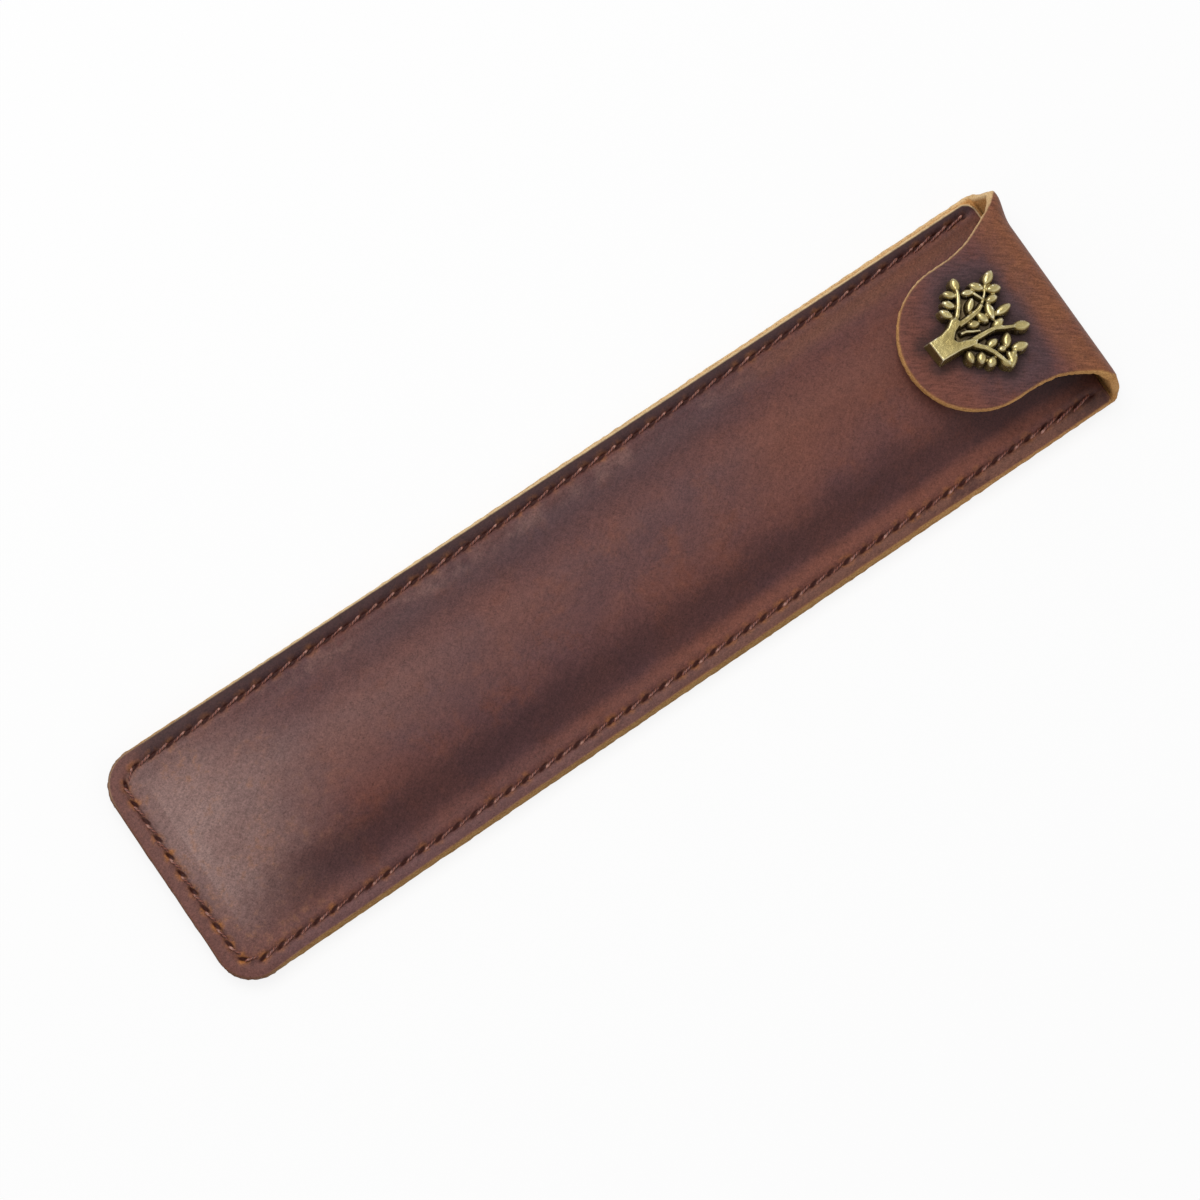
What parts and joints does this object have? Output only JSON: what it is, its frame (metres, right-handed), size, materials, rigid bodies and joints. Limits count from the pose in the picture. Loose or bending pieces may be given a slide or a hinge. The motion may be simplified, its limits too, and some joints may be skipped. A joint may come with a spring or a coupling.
{
  "type": "single pen sleeve",
  "caption": "Slim stitched leather sleeve for one pen, with a moulded front, a fold-over flap and a snap under a cast tree ornament.",
  "frame": {"origin": "centre of the sleeve's length and width, on the outer face of the back panel", "axes": "+X along the sleeve towards the mouth and the fold, +Y across it, +Z out of the front through the flap"},
  "size_m": [0.17, 0.041, 0.0154],
  "materials": {
    "hide": "oiled brown leather with raw tan edges",
    "front_leather": "oiled brown leather with raw tan edges",
    "thread": "waxed dark brown thread",
    "snap_metal": "antique brass",
    "spring_wire": "spring wire",
    "ornament_metal": "cast antique bronze with dark patina"
  },
  "bodies": {
    "sleeve": {"back_panel": "hide", "front_panel": "front_leather", "needle_thread": "thread", "bobbin_thread": "thread", "snap_stud": "snap_metal", "stud_rivet": "snap_metal"},
    "fold": {"flap_fold": "hide"},
    "flap": {"flap_tongue": "hide", "ornament": "ornament_metal", "cap_rivet": "snap_metal", "snap_socket": "snap_metal", "socket_spring": "spring_wire"}
  },
  "joints": [
    {"name": "fold_bend", "type": "hinge", "parent": "sleeve", "child": "fold", "pos_m": [0.08436, 0, 0.00064], "axis": [0, 1, 0], "range_deg": [0, 90]},
    {"name": "flap_bend", "type": "hinge", "parent": "fold", "child": "flap", "pos_m": [0.08397, 0, 0.01117], "axis": [0, 1, 0], "range_deg": [0, 90]}
  ],
  "couplings": [
    {"joint": "flap_bend", "follows": "fold_bend", "ratio": 1}
  ]
}
